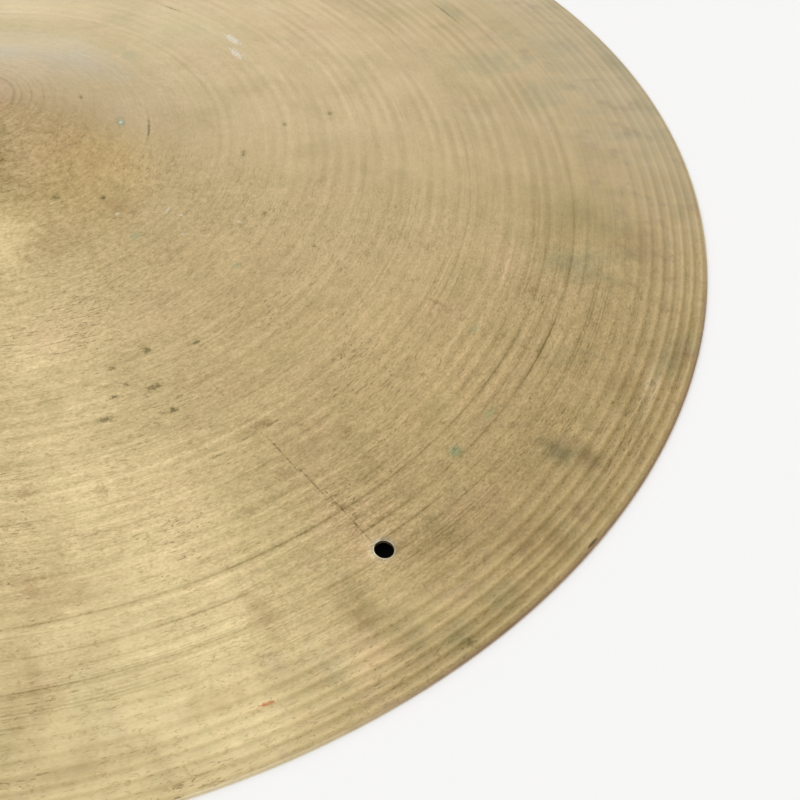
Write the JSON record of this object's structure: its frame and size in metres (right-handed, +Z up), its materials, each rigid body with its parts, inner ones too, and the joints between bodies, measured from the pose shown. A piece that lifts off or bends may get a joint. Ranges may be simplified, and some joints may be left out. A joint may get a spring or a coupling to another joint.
{
  "type": "crash cymbal",
  "caption": "Round bronze crash cymbal with a domed bell, a shallow bow, a stand hole at its centre and a rivet hole near its rim.",
  "frame": {"origin": "on the cymbal's axis, in the plane of the flat ring under the rim", "axes": "+Z up the axis, from the rim's plane towards the bell; the rivet hole lies 66.85 degrees clockwise from +X, seen from above"},
  "size_m": [0.4064, 0.4064, 0.0323],
  "materials": {
    "bronze": "satin, lathe-turned, aged cast bronze with light patina"
  },
  "bodies": {
    "root": {"cymbal_plate": "bronze"}
  },
  "joints": []
}
